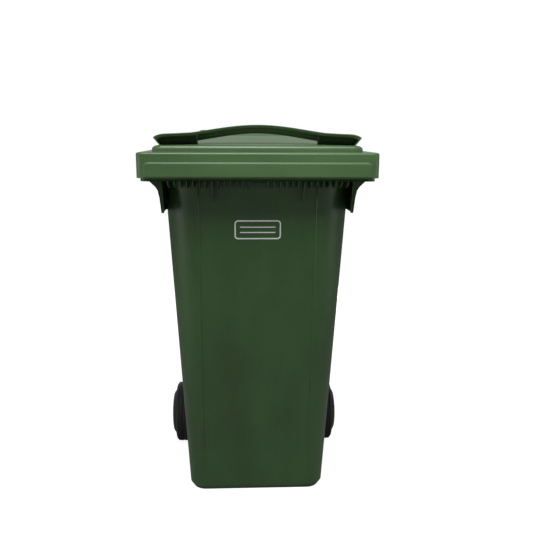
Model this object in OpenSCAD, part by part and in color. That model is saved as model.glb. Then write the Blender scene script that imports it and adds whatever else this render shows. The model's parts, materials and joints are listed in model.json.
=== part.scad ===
// Two-wheeled refuse bin, 240 litre class, with a hinged lid and comb lifting rim.
// Millimetres. +Z up, the front faces -Y, origin at the middle of the footprint on the ground.

/* [Overall] */
// Width over the lid
bin_w = 580; // [500:1:700]
// Depth from the lid's front to the back of the handle
bin_d = 730; // [620:1:880]
// Height of the body's top rim above the ground
rim_top = 988; // [860:1:1180]

/* [Body shell] */
// Body wall thickness
wall = 5; // [3.5:0.5:7]
// Floor thickness
floor_t = 9; // [6:0.5:14]
// Half width of the body where it stands on the ground
base_half_w = 196; // [165:1:230]
// How far the body grows at each side from ground to rim
side_flare = 45; // [25:1:50]
// Setback of the base's front edge behind the lid's front
base_setback = 220; // [180:1:260]
// Setback of the body's front wall behind the lid's front, at the rim
top_setback = 56; // [48:1:80]
// Depth of the base from its front edge to the rear wall
base_len = 372; // [320:1:410]
// Corner radius of the front wall at the rim
corner_top = 92; // [60:1:110]
// Corner radius of the front wall at the base
corner_base = 42; // [30:1:60]
// Corner radius of the rear wall
corner_rear = 40; // [25:1:60]
// Height of the bevel round the base
base_bevel_h = 18; // [8:1:30]
// Inward reach of the bevel round the base
base_bevel_in = 9; // [4:1:16]

/* [Lifting rim] */
// Height of the downturned rim
rim_h = 61; // [45:1:75]
// Thickness of the rim
rim_t = 4; // [3:0.5:6]
// Gap between the rim and the lid's skirt
skirt_gap = 4.5; // [3:0.5:8]
// Spacing of the fins under the front rim
fin_pitch = 15; // [12:0.5:25]
// Thickness of a fin
fin_t = 2.4; // [1.6:0.2:4]
// How far the fins reach below the rim
fin_drop = 20; // [8:1:35]
// How far the two long fins reach below the rim
long_fin_drop = 55; // [36:1:75]
// Height of the corner gussets below the rim
gusset_h = 82; // [60:1:110]
// Length of a corner gusset along the side
gusset_len = 90; // [60:1:120]

/* [Handle and lid hinge] */
// Radius of the handle bar
bar_r = 16; // [13:0.5:19]
// Half length of the handle bar between its outer arms
bar_half = 186; // [150:1:210]
// Thickness of a handle arm
arm_t = 9; // [6:0.5:14]
// Height of the hinge axis above the body's rim
hinge_rise = 12; // [10:1:24]
// Clear depth of the hand gaps in front of the bar
hand_gap = 36; // [34:1:45]
// Radius of a hinge pin
pin_r = 7; // [5:0.5:9]
// Depth of a hinge pin inside the handle
pin_depth = 42; // [25:1:60]
// Width of a lid hinge lug
lug_w = 18; // [12:1:24]

/* [Lid] */
// Lid wall thickness
lid_t = 3.5; // [2.5:0.5:5]
// Depth of the lid's skirt
skirt_h = 60; // [45:1:75]
// Height of the lower front panel that stands proud of the skirt
panel_h = 37; // [20:1:42]
// How far the lower front panel stands proud
panel_out = 3; // [1:0.5:5]
// Height of the deck's front edge above the skirt's top
deck_step = 16; // [10:1:24]
// Extra height of the deck at the back
deck_rise = 22; // [10:1:30]
// Inset of the deck from the lid's sides
deck_inset = 34; // [25:1:60]
// Height of the rear plateau above the skirt's top
plateau_h = 56; // [45:1:62]
// Half width of the rear plateau
plateau_half = 176; // [120:1:180]

/* [Lid grip] */
// Height of the grip's middle above the deck's front edge
grip_h = 49; // [38:1:60]
// Height of the grip's outer ends above the deck's front edge
grip_end_h = 31; // [24:1:38]
// Front to back depth of the grip
grip_d = 44; // [34:1:60]
// Height of the grip's hanging front lip
grip_lip = 21; // [12:1:24]
// Half width of the finger opening
finger_half = 148; // [100:1:150]

/* [Wheels and axle] */
// Wheel radius
wheel_r = 100; // [80:1:125]
// Tyre width
tyre_w = 50; // [38:1:55]
// Radius of the wheel centre where the tyre sits
seat_r = 72; // [55:1:80]
// Distance from one tyre's outer face to the other's
track = 526; // [500:1:580]
// Axle radius
axle_r = 10; // [8:0.5:13]
// Distance of the axle behind the lid's front
axle_back = 577; // [520:1:620]
// Wheel hub radius
hub_r = 26; // [20:1:32]
// Hub cap radius
cap_r = 73; // [50:1:76]
// How far the hub cap stands out of the tyre
cap_out = 12; // [8:1:20]

/* [Fits] */
// Radial clearance of a running fit
run_fit = 0.08; // [0.02:0.01:0.1]
// Radial clearance of a part that is pressed in place
seat_fit = 0.03; // [0.02:0.01:0.1]
// Clearance between flat sliding faces
face_gap = 0.5; // [0.3:0.1:1]

/* [Label] */
// Width of the front label
label_w = 118; // [80:1:150]
// Height of the front label
label_h = 50; // [30:1:70]
// Height of the label's middle above the ground
label_z = 800; // [500:1:840]

/* [Hidden] */
$fn = 48;
hull_fn = 32;
eps = 0.01;
front = -bin_d / 2;
rear = bin_d / 2;

// Body outline at a height: half width, front wall and rear wall
body_front_base = front + base_setback;
body_front_top = front + top_setback;
bar_y = rear - bar_r - 1;
rim_rear = bar_y - bar_r - hand_gap;
body_rear_base = body_front_base + base_len;
rear_setback = 28;
body_rear_top = rim_rear - rear_setback;
function along(a, b, z) = a + (b - a) * z / rim_top;
function half_at(z) = along(base_half_w, base_half_w + side_flare, z);
function front_at(z) = along(body_front_base, body_front_top, z);
function rear_at(z) = along(body_rear_base, body_rear_top, z);
function corner_at(z) = along(corner_base, corner_top, z);

// Rim and lid outlines
lid_half = bin_w / 2;
rim_half = lid_half - lid_t - skirt_gap;
skirt_front = front + panel_out;
rim_front = skirt_front + lid_t + skirt_gap;
rim_bottom = rim_top - rim_h;
rim_corner = 15;
long_fin = 7;
side_fin_count = 6;
gusset_back = 56;
gusset_t = 3;
rear_corner = 12;
lid_top = rim_top + lid_t + 3.5;
skirt_bottom = lid_top - skirt_h;
lid_rear = rim_rear - 14;
lid_corner = rim_corner + skirt_gap + lid_t;
rear_skirt_z = rim_top + 1.5;
deck_half = lid_half - deck_inset;
panel_half = lid_half - 24;
panel_root = 20;
deck_front = front + 46;
deck_z = lid_top + deck_step;
deck_rear = lid_rear - 16;
shoulder_r = 22;
shoulder_drop = 6;
deck_ramp = 200;
plateau_len = 260;

// Lid grip
grip_front = deck_front + 2;
grip_top = deck_z + grip_h;
hump_half = 150;
tip_half = deck_half - 3;
tip_drop = 10;
tip_slant = 18;
opening_top = grip_top - grip_lip - lid_t;

// Handle and hinge
hinge_z = rim_top + hinge_rise;
arm_mid = 62;
lug_x0 = bar_half + arm_t + face_gap;
lug_r = pin_r + 8;
pin_head_r = pin_r + 4;
pin_head_t = 3;
cap_rim_r = pin_head_r + 2.5;

// Wheels
axle_y = front + axle_back;
axle_z = wheel_r;
tyre_out = track / 2;
tyre_in = tyre_out - tyre_w;
boss_r = axle_r + 9;
boss_end = half_at(axle_z) + 1;
boss_len = 30;
boss_mid = 70;
boss_mid_len = 12;
web_plate_t = 7;
bush_wall = 2.5;
bush_flange_t = 2.5;
washer_t = 2;
hub_in = boss_end + bush_flange_t + washer_t + 2 * face_gap;
hub_out = tyre_out - 3;
axle_half = hub_out - 4;
groove_x = axle_half - 9;
groove_w = 7;
groove_r = axle_r - 2.5;
latch_t = 6;
latch_w = 11;
latch_top = hub_r + 9;
snap_x = tyre_out - 9;
snap_t = 2.2;
rib_t = 4;
rib_x = tyre_out - 40;
recess_top = axle_z + 46;
recess_front = axle_y - 32;

// A flat rounded rectangle from y0 to y1, with its own front and rear corner radii
module rounded_plan(half, y0, y1, rf, rr) {
    translate([-half, y0 + rf]) square([2 * half, y1 - y0 - rf - rr]);
    translate([-(half - rf), y0]) square([2 * (half - rf), rf + eps]);
    translate([-(half - rr), y1 - rr - eps]) square([2 * (half - rr), rr + eps]);
    for (s = [-1, 1]) {
        translate([s * (half - rf), y0 + rf]) circle(r = rf);
        translate([s * (half - rr), y1 - rr]) circle(r = rr);
    }
}

// A thin slab of the body's outline at a height, drawn in by inset
module body_slab(z, inset) {
    translate([0, 0, z])
        linear_extrude(eps)
            rounded_plan(half_at(z) - inset, front_at(z) + inset, rear_at(z) - inset,
                         corner_at(z) - inset / 2, corner_rear - inset / 2, $fn = hull_fn);
}

// A plate in the YZ plane, t thick, centred on x
module side_plate(x, t, points) {
    translate([x - t / 2, 0, 0]) rotate([90, 0, 90]) linear_extrude(t) polygon(points);
}

// A cylinder along X from x0 to x1
module rod(x0, x1, r) {
    translate([x0, 0, 0]) rotate([0, 90, 0]) cylinder(h = x1 - x0, r = r);
}

// A ring along X from x0 to x1
module ring(x0, x1, r_out, r_in) {
    difference() {
        rod(x0, x1, r_out);
        rod(x0 - 1, x1 + 1, r_in);
    }
}

// The recess in the lower rear of the body that leaves room for the axle, grown by g
module axle_recess(g) {
    side_plate(0, bin_w, [[recess_front - g, -50], [recess_front - g, recess_top - 22 + g],
                          [recess_front + 24, recess_top + g], [rear, recess_top + g], [rear, -50]]);
}

module tub_outer() {
    difference() {
        hull() {
            body_slab(0, base_bevel_in);
            body_slab(base_bevel_h, 0);
            body_slab(rim_top - eps, 0);
        }
        axle_recess(0);
    }
}

module tub_inner() {
    difference() {
        hull() {
            body_slab(floor_t, wall + base_bevel_in);
            body_slab(base_bevel_h + floor_t, wall);
            body_slab(rim_top + 1, wall);
        }
        axle_recess(wall);
    }
}

// The downturned rim, open underneath
module rim() {
    difference() {
        translate([0, 0, rim_bottom])
            linear_extrude(rim_h) rounded_plan(rim_half, rim_front, rim_rear, rim_corner, rim_corner);
        translate([0, 0, rim_bottom - 1])
            linear_extrude(rim_h - rim_t + 1)
                rounded_plan(rim_half - rim_t, rim_front + rim_t, rim_rear - rim_t,
                             rim_corner - rim_t, rim_corner - rim_t);
    }
}

// One fin between the front wall and the rim
module front_fin(x, drop) {
    z0 = rim_bottom - drop;
    side_plate(x, fin_t, [[rim_front + 2, rim_top - 1], [rim_front + 2, rim_bottom + 2],
                          [rim_front + 16, rim_bottom - min(drop, fin_drop) * 0.6],
                          [front_at(z0) - 6, z0], [front_at(z0) + 1, z0], [front_at(rim_top) + 1, rim_top - 1]]);
}

// The comb: every fin of the row except the pair where the chip nest is
module comb() {
    last = floor((half_at(rim_bottom) - 18) / fin_pitch - 0.5);
    for (k = [1 : last], s = [-1, 1])
        front_fin(s * (k + 0.5) * fin_pitch, k == long_fin ? long_fin_drop : fin_drop);
}

// Stiffening fins under the side rims
module side_fins() {
    y0 = rim_front + 170;
    step = (rim_rear - 60 - y0) / (side_fin_count - 1);
    for (i = [0 : side_fin_count - 1], s = [-1, 1])
        translate([0, y0 + i * step + fin_t / 2, 0]) rotate([90, 0, 0]) linear_extrude(fin_t)
            polygon([[s * (rim_half - 2), rim_top - 1], [s * (rim_half - 2), rim_bottom + 2],
                     [s * (half_at(rim_bottom) - 2), rim_bottom - fin_drop / 2],
                     [s * (half_at(rim_top) - 2), rim_top - 1]]);
}

// The gusset under the rim near a front corner, hollow and open towards the rim
module gusset(s) {
    y0 = rim_front + gusset_back;
    z0 = rim_bottom - gusset_h;
    h0 = half_at(z0);
    outer = [[rim_half - 5, rim_bottom + 6], [rim_half - 15, rim_bottom - 4], [h0 + 19, rim_bottom - 17],
             [h0 + 13, rim_bottom - 26], [h0 + 9, rim_bottom - 45], [h0 + 5, z0], [h0 - 3, z0],
             [h0 - 1, rim_bottom + 6]];
    inner = [[rim_half - 10, rim_bottom + 7], [rim_half - 20, rim_bottom - 4], [h0 + 15, rim_bottom - 18],
             [h0 + 9.5, rim_bottom - 27], [h0 + 5.5, rim_bottom - 45], [h0 - 9, rim_bottom - 45],
             [h0 - 9, rim_bottom + 7]];
    mirror([s < 0 ? 1 : 0, 0, 0])
        translate([0, y0 + gusset_len, 0]) rotate([90, 0, 0]) difference() {
            linear_extrude(gusset_len) polygon(outer);
            translate([0, 0, gusset_t]) linear_extrude(gusset_len - 2 * gusset_t) polygon(inner);
        }
}

// The round nest for the chip, under the middle of the front rim
chip_r = 11;
chip_y = (rim_front + front_at(rim_bottom)) / 2;
chip_z = rim_bottom - 2;
module chip_nest() {
    translate([0, chip_y, chip_z]) difference() {
        cylinder(h = rim_top - 1 - chip_z, r = chip_r + 3);
        translate([0, 0, -1]) cylinder(h = 15, r = chip_r + seat_fit);
    }
    side_plate(0, fin_t, [[chip_y + chip_r + 1, rim_top - 1], [chip_y + chip_r + 1, chip_z + 4],
                          [front_at(chip_z) + 1, chip_z + 4], [front_at(rim_top) + 1, rim_top - 1]]);
}

// One arm that carries the handle bar
module handle_arm(x) {
    side_plate(x, arm_t, [[rim_rear - rim_t / 2, rim_bottom + 4], [rim_rear + 8, rim_bottom + 4],
                          [bar_y + 6, hinge_z - bar_r + 3], [bar_y, hinge_z], [bar_y - 8, hinge_z + bar_r - 3],
                          [rim_rear - rim_t / 2, rim_top - 2]]);
    translate([0, bar_y, hinge_z]) rod(x - arm_t / 2, x + arm_t / 2, bar_r + 1);
}

module handle() {
    for (s = [-1, 1]) {
        handle_arm(s * (bar_half + arm_t / 2));
        handle_arm(s * arm_mid);
    }
    translate([0, bar_y, hinge_z]) rod(-bar_half, bar_half, bar_r);
}

// Bosses in the rear recess that carry the axle, two at the sides and two between
module axle_carriers() {
    for (s = [-1, 1]) {
        x_side = s * (boss_end - boss_len / 2);
        translate([0, axle_y, axle_z]) rod(x_side - boss_len / 2, x_side + boss_len / 2, boss_r);
        for (x = [s * (boss_end - boss_len), s * (boss_end - 3 - wall), s * boss_mid])
            side_plate(x, web_plate_t, [[recess_front - 2, axle_z - 24], [axle_y, axle_z - boss_r + 2],
                              [axle_y + boss_r - 2, axle_z], [axle_y + boss_r - 2, recess_top + 2],
                              [recess_front - 2, recess_top + 2]]);
        translate([0, axle_y, axle_z]) rod(s * boss_mid - boss_mid_len / 2, s * boss_mid + boss_mid_len / 2, boss_r);
    }
}

module body_shell() {
    color("darkgreen") difference() {
        union() {
            difference() {
                union() {
                    tub_outer();
                    rim();
                    comb();
                    side_fins();
                    for (s = [-1, 1]) gusset(s);
                    chip_nest();
                }
                tub_inner();
            }
            axle_carriers();
            handle();
        }
        // axle hole, and wider seats for the two bushes
        translate([0, axle_y, axle_z]) {
            rod(-bin_w, bin_w, axle_r + 0.6);
            for (s = [-1, 1])
                rod(s > 0 ? boss_end - boss_len - 5 : -boss_end - 1,
                    s > 0 ? boss_end + 1 : 5 - boss_end + boss_len, axle_r + bush_wall + seat_fit);
        }
        // blind holes for the hinge pins in the ends of the handle
        for (s = [-1, 1])
            translate([0, bar_y, hinge_z])
                rod(s > 0 ? bar_half + arm_t - pin_depth : -bar_half - arm_t - 1,
                    s > 0 ? bar_half + arm_t + 1 : pin_depth - bar_half - arm_t, pin_r + seat_fit);
    }
}

// Top line of the grip, from its ends to the middle of the hump
function grip_line(x) = deck_z + grip_end_h
    + (abs(x) < hump_half ? (grip_h - grip_end_h) * cos(90 * x / hump_half) : 0)
    - tip_drop * pow(max(0, abs(x) - hump_half) / (tip_half - hump_half), 6);

// Outline of the grip seen from the front, drawn in by t
module grip_outline(t) {
    steps = 40;
    half = tip_half - t;
    foot = half - tip_slant;
    polygon(concat([for (i = [0 : steps]) let (x = -half + 2 * half * i / steps) [x, grip_line(x) - t]],
                   [[foot, deck_z - 4], [-foot, deck_z - 4]]));
}

module grip_prism(y0, y1, t) {
    translate([0, y1, 0]) rotate([90, 0, 0]) linear_extrude(y1 - y0) grip_outline(t);
}

// The grip: a hollow bridge across the deck, open to the front below its lip
module grip() {
    y1 = grip_front + grip_d;
    difference() {
        grip_prism(grip_front, y1, 0);
        grip_prism(grip_front + lid_t, y1 - lid_t, lid_t);
        // the mouth under the lip
        intersection() {
            grip_prism(grip_front - 1, grip_front + lid_t + 1, lid_t);
            translate([0, 0, -grip_lip + lid_t]) grip_prism(grip_front - 1, grip_front + lid_t + 1, 0);
        }
        // the finger opening through the back
        translate([-finger_half, y1 - lid_t - 1, deck_z]) cube([2 * finger_half, lid_t + 2, opening_top - deck_z]);
    }
}

// A block with a rounded plan, cut to a side profile (Y, Z) and to a front profile (X, Z) that is
// mirrored about the middle
module profiled_block(half, y0, y1, r, side, flank) {
    other = [for (i = [len(flank) - 1 : -1 : 0]) [-flank[i][0], flank[i][1]]];
    intersection() {
        linear_extrude(2 * rim_top) rounded_plan(half, y0, y1, r, r);
        side_plate(0, bin_w, side);
        translate([0, bin_d, 0]) rotate([90, 0, 0]) linear_extrude(2 * bin_d) polygon(concat(flank, other));
    }
}

// The deck, drawn in by t, from z0 up
module deck_form(t, z0) {
    top = deck_z + deck_rise - t;
    shoulder = deck_z - shoulder_drop - t;
    y0 = deck_front + t;
    y1 = deck_rear - t;
    x1 = deck_half - t;
    profiled_block(x1, y0, y1, shoulder_r - t,
        [[y0 - 1, z0], [y0 - 1, shoulder], [y0 + shoulder_drop, deck_z - t], [y0 + deck_ramp, top],
         [y1 - deck_ramp / 4, top], [y1 + 1, deck_z - t], [y1 + 1, z0]],
        [[x1 + 1, z0], [x1 + 1, shoulder], [x1 - shoulder_drop, deck_z - t], [x1 - deck_ramp / 2, top]]);
}

// The raised rear plateau, drawn in by t, from z0 up
module plateau_form(t, z0) {
    top = lid_top + plateau_h - t;
    y0 = deck_rear - plateau_len + t;
    y1 = deck_rear - 30 - t;
    x1 = plateau_half - t;
    profiled_block(x1, y0, y1, shoulder_r - t,
        [[y0, z0], [y0, deck_z + deck_rise - t], [y0 + 50, top], [y1 - 12, top], [y1, z0]],
        [[x1, z0], [x1, deck_z + deck_rise - t], [x1 - 16, top]]);
}

module lid_lug(s) {
    x0 = s > 0 ? lug_x0 : -lug_x0 - lug_w;
    translate([x0, 0, 0]) {
        rotate([90, 0, 90]) linear_extrude(lug_w)
            polygon([[lid_rear - 40, lid_top - lid_t], [bar_y - 8, hinge_z - 6], [bar_y, hinge_z],
                     [bar_y, hinge_z + lug_r - 1], [lid_rear - 6, hinge_z + lug_r - 1],
                     [lid_rear - 40, lid_top + 2]]);
        translate([0, bar_y, hinge_z]) rotate([0, 90, 0]) cylinder(h = lug_w, r = lug_r);
    }
}

module lid() {
    color("seagreen") difference() {
        union() {
            difference() {
                union() {
                    // ledge and skirt
                    translate([0, 0, skirt_bottom]) linear_extrude(skirt_h)
                        rounded_plan(lid_half, skirt_front, lid_rear, lid_corner, rear_corner);
                    // lower front panel
                    translate([-panel_half, front, skirt_bottom]) cube([2 * panel_half, panel_root, panel_h]);
                    deck_form(0, lid_top - 1);
                    plateau_form(0, deck_z);
                }
                // hollow inside the skirt
                translate([0, 0, skirt_bottom - 1]) linear_extrude(skirt_h + 1 - lid_t)
                    rounded_plan(lid_half - lid_t, skirt_front + lid_t, lid_rear - lid_t,
                                 lid_corner - lid_t, rear_corner - lid_t);
                // no deep skirt across the back
                translate([-bin_w, lid_rear - 30, skirt_bottom - 1])
                    cube([2 * bin_w, 60, rear_skirt_z - skirt_bottom + 1]);
                deck_form(lid_t, lid_top - lid_t - 1);
                plateau_form(lid_t, deck_z - lid_t);
            }
            grip();
            for (s = [-1, 1]) lid_lug(s);
        }
        translate([0, bar_y, hinge_z]) rod(-bin_w, bin_w, pin_r + run_fit);
    }
}

module hinge_pin(s) {
    x0 = bar_half + arm_t - pin_depth + 1;
    x1 = lug_x0 + lug_w + face_gap;
    color("black") translate([0, bar_y, hinge_z]) mirror([s < 0 ? 1 : 0, 0, 0]) {
        rod(x0, x1 + eps, pin_r);
        rod(x1, x1 + pin_head_t, pin_head_r);
    }
}

// A round cover over the pin's head
module pin_cap(s) {
    x1 = lug_x0 + lug_w + face_gap;
    color("darkgreen") translate([0, bar_y, hinge_z]) mirror([s < 0 ? 1 : 0, 0, 0]) difference() {
        rod(x1, x1 + pin_head_t + 2, cap_rim_r);
        rod(x1 - 1, x1 + pin_head_t + seat_fit, pin_head_r + seat_fit);
    }
}

module axle() {
    color("silver") translate([0, axle_y, axle_z]) difference() {
        rod(-axle_half, axle_half, axle_r);
        for (s = [-1, 1]) ring(s * groove_x - groove_w / 2, s * groove_x + groove_w / 2, axle_r + 1, groove_r);
    }
}

// A flanged plastic bush in the end of the axle boss
module axle_bush(s) {
    color("dimgray") translate([0, axle_y, axle_z]) mirror([s < 0 ? 1 : 0, 0, 0]) difference() {
        union() {
            rod(boss_end - boss_len + 2, boss_end + 1, axle_r + bush_wall);
            rod(boss_end + seat_fit, boss_end + bush_flange_t, axle_r + 7);
        }
        rod(0, bin_w, axle_r + seat_fit);
    }
}

module axle_washer(s) {
    x0 = boss_end + bush_flange_t + face_gap;
    color("silver") translate([0, axle_y, axle_z]) mirror([s < 0 ? 1 : 0, 0, 0])
        ring(x0, x0 + washer_t, axle_r + 8, axle_r + run_fit);
}

// The moulded centre of a wheel: hub, web, ribs and the ring under the tyre
module wheel_centre(s) {
    web_x = tyre_out - 26;
    web_t = 5;
    ring_in = seat_r - 6;
    color("dimgray") translate([0, axle_y, axle_z]) mirror([s < 0 ? 1 : 0, 0, 0]) difference() {
        union() {
            rod(hub_in, hub_out, hub_r);
            rod(web_x, web_x + web_t, seat_r - 1);
            ring(tyre_in + 4, tyre_out - 4, seat_r, ring_in);
            for (a = [0 : 45 : 315]) rotate([a + 22.5, 0, 0])
                translate([rib_x, hub_r - 2, -rib_t / 2])
                    cube([snap_x - face_gap - rib_x, ring_in - hub_r + 3, rib_t]);
        }
        rod(0, bin_w, axle_r + run_fit);
        // slot for the latch, open at the hub's outside
        translate([groove_x - latch_t / 2 - face_gap, -latch_w / 2 - face_gap, 0])
            cube([latch_t + 2 * face_gap, latch_w + 2 * face_gap, hub_r + 1]);
        // the slot goes on out beyond the hub, so that the latch's head can travel
        translate([groove_x - latch_t / 2 - face_gap, -latch_w, hub_r])
            cube([latch_t + 2 * face_gap, 2 * latch_w, ring_in - hub_r - 1]);
    }
}

module tyre(s) {
    edge = 9;
    r_in = seat_r + seat_fit;
    color("black") translate([0, axle_y, axle_z]) mirror([s < 0 ? 1 : 0, 0, 0])
        translate([tyre_in, 0, 0]) rotate([0, 90, 0]) rotate_extrude() {
            translate([r_in, 0]) square([wheel_r - edge - r_in, tyre_w]);
            translate([r_in, edge]) square([wheel_r - r_in, tyre_w - 2 * edge]);
            for (x = [edge, tyre_w - edge]) translate([wheel_r - edge, x]) circle(r = edge);
        }
}

// The domed cover on the outside of a wheel
module hub_cap(s) {
    wall_t = 2.5;
    lip_x = tyre_out + 0.4;
    ease = cap_out - 5;
    color("dimgray") translate([0, axle_y, axle_z]) mirror([s < 0 ? 1 : 0, 0, 0]) rotate([0, 90, 0])
        rotate_extrude() {
            translate([0, tyre_out + cap_out - wall_t]) square([cap_r - ease, wall_t]);
            translate([cap_r - ease, tyre_out + cap_out - ease]) intersection() {
                difference() {
                    circle(r = ease);
                    circle(r = ease - wall_t);
                }
                square(ease);
            }
            translate([cap_r - wall_t, lip_x]) square([wall_t, tyre_out + cap_out - ease - lip_x]);
            translate([seat_r - 9, snap_x]) square([snap_t, tyre_out + cap_out - wall_t + eps - snap_x]);
        }
}

// The sliding latch that holds the wheel on: its tip lies in the axle's groove
module wheel_latch(s) {
    tip = groove_r + 0.7;
    color("orange") translate([s * groove_x, axle_y, axle_z]) {
        translate([-latch_t / 2, -latch_w / 2, tip]) cube([latch_t, latch_w, latch_top - tip]);
        translate([-latch_t / 2, -latch_w / 2 - 4, hub_r + 2]) cube([latch_t, latch_w + 8, latch_top - hub_r - 2]);
    }
}

// A plain plate with bars on the front wall
module front_label() {
    rake = atan((body_front_base - body_front_top) / rim_top);
    plate_t = 0.8;
    color("white") translate([0, front_at(label_z) - 0.05, label_z]) rotate([90 + rake, 0, 0])
        linear_extrude(plate_t) translate([0, -label_h / 2])
            rounded_plan(label_w / 2, 0, label_h, 8, 8);
}

module chip_plug() {
    color("black") translate([0, chip_y, chip_z]) {
        translate([0, 0, -2]) cylinder(h = 2 - eps, r = chip_r + 2);
        translate([0, 0, -1]) cylinder(h = 12, r = chip_r);
    }
}

body_shell();
lid();
hinge_pin(-1);  // hinge_pin_left
hinge_pin(1);  // hinge_pin_right
pin_cap(-1);  // pin_cap_left
pin_cap(1);  // pin_cap_right
axle();
axle_bush(-1);  // axle_bush_left
axle_bush(1);  // axle_bush_right
axle_washer(-1);  // axle_washer_left
axle_washer(1);  // axle_washer_right
wheel_centre(-1);  // wheel_centre_left
wheel_centre(1);  // wheel_centre_right
tyre(-1);  // tyre_left
tyre(1);  // tyre_right
hub_cap(-1);  // hub_cap_left
hub_cap(1);  // hub_cap_right
wheel_latch(-1);  // wheel_latch_left
wheel_latch(1);  // wheel_latch_right
front_label();
chip_plug();
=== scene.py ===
# %% [markdown]
# # A two-wheeled refuse bin
# The real bin is two big injection mouldings in green high density polyethylene, a body and a lid,
# with a steel axle, two rubber-tyred wheels and a handful of small plastic fittings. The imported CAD
# frame gives every size and place. Here each visible moulding is remade with the soft edges, draft
# and wall thickness that a mould leaves, and every piece gets a finish made from nodes.

import json
import math

import bmesh
import bpy
from mathutils import Matrix, Vector


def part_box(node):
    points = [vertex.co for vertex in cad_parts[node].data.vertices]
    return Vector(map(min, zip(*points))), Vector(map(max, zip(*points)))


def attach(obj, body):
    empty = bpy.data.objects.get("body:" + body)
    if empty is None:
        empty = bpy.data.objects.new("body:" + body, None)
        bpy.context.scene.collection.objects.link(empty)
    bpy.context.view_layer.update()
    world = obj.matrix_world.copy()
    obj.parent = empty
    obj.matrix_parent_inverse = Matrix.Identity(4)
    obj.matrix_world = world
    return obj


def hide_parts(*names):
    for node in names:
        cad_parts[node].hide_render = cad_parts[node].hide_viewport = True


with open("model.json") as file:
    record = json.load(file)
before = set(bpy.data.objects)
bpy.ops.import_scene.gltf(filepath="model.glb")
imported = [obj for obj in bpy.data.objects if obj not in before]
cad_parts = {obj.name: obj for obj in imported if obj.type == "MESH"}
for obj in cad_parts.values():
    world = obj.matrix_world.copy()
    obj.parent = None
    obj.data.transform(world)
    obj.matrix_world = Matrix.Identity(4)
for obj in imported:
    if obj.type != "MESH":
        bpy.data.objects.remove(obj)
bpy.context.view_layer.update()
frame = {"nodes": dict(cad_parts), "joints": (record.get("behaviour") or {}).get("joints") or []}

# %% [markdown]
# ## Sizes
# The outer sizes are read from the frame's own boxes, so that the looks can't drift from the design.
# What a box can't tell, such as a corner's radius, is named here in metres, as the design has it.

# %% Read the sizes
mm = 0.001
lid_low, lid_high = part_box("lid")
body_low, body_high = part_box("body_shell")
tyre_low, tyre_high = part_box("tyre_right")
cap_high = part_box("hub_cap_right")[1]
pin_cap_low, pin_cap_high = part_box("pin_cap_right")
hinge_axis = Vector((0, *frame["joints"][0]["pos_m"][1:]))
axle_axis = Vector((0, (tyre_low.y + tyre_high.y) / 2, (tyre_low.z + tyre_high.z) / 2))
front = lid_low.y
wall = 5 * mm
rim_top = 988 * mm
rim_height = 61 * mm
rim_bottom = rim_top - rim_height
rim_thick = 4 * mm
rim_half = body_high.x
rim_front = body_low.y
rim_rear = 296 * mm
rim_corner = 15 * mm
lid_half = lid_high.x
lid_top = 995 * mm
skirt_bottom = lid_low.z
lid_rear = rim_rear - 14 * mm
print("rim", round(rim_half, 4), "lid", round(lid_half, 4), "hinge", tuple(hinge_axis))

# %% [markdown]
# ## Mesh helpers
# Both mouldings are stacks of rounded rectangles. A circle is created once, and each of its quarters
# is pushed out to a corner: that gives one ring. Extruding the ring's edges gives the next, so a whole
# hollow moulding comes from one closed chain of rings, inside, over the rim and down the outside.

# %% Ring helpers
CORNER_STEPS = 14


def start_ring(bm, plan):
    """Creates the first ring and returns its edges."""
    layer = bm.verts.layers.float_vector.new("unit")
    made = bmesh.ops.create_circle(bm, segments=4 * CORNER_STEPS, radius=1)
    quarter = math.pi / 2
    step = quarter / CORNER_STEPS
    tiny = 1e-4
    for vert in made["verts"]:
        angle = (math.atan2(vert.co.y, vert.co.x) + step / 2) % math.tau
        corner = int(angle // quarter)
        share = (angle - corner * quarter - step / 2) / (quarter - step)
        angle = (corner + min(max(share, tiny), 1 - tiny)) * quarter
        vert[layer] = (math.cos(angle), math.sin(angle), 0)
    place_ring(bm, made["verts"], plan)
    return list({edge for vert in made["verts"] for edge in vert.link_edges})


def place_ring(bm, verts, plan):
    """Moves a ring's vertices to a rounded rectangle: half width, front, rear, two radii, height."""
    half, y_front, y_rear, r_front, r_rear, z = plan
    layer = bm.verts.layers.float_vector["unit"]
    for vert in verts:
        unit = vert[layer]
        radius = r_front if unit.y < 0 else r_rear
        x = math.copysign(half - radius, unit.x) + unit.x * radius
        y = (y_front + radius if unit.y < 0 else y_rear - radius) + unit.y * radius
        vert.co = (x, y, z)


def chain_rings(bm, plans):
    """A skin over a list of plans, with flat ends."""
    edges = start_ring(bm, plans[0])
    bmesh.ops.edgeloop_fill(bm, edges=edges)
    for plan in plans[1:]:
        made = bmesh.ops.extrude_edge_only(bm, edges=edges)["geom"]
        verts = {item for item in made if isinstance(item, bmesh.types.BMVert)}
        edges = [item for item in made if isinstance(item, bmesh.types.BMEdge)
                 and item.verts[0] in verts and item.verts[1] in verts]
        place_ring(bm, verts, plan)
    bmesh.ops.edgeloop_fill(bm, edges=edges)


# %% [markdown]
# A mould can't cut a knife edge, and light catches the small radius it leaves. One helper finds every
# edge that is sharper than an angle and bevels it. Thin ribs and flanges are plates: a flat outline
# filled as a face, extruded to its thickness. Turned and round parts are half outlines, spun about X.

# %% Shape helpers
def bevel(bm, geom, width, segments, affect="EDGES", clamp=True):
    bmesh.ops.bevel(bm, geom=geom, offset=width, segments=segments, profile=0.5, affect=affect,
                    clamp_overlap=clamp, material=-1)


def soften(bm, width, segments=3, angle=25):
    """Bevels every edge where two faces meet at more than an angle in degrees."""
    sharp = [edge for edge in bm.edges if len(edge.link_faces) == 2
             and edge.calc_face_angle(0) > math.radians(angle)]
    bevel(bm, sharp, width, segments)


def face_outwards(bm):
    bmesh.ops.recalc_face_normals(bm, faces=bm.faces)


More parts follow.
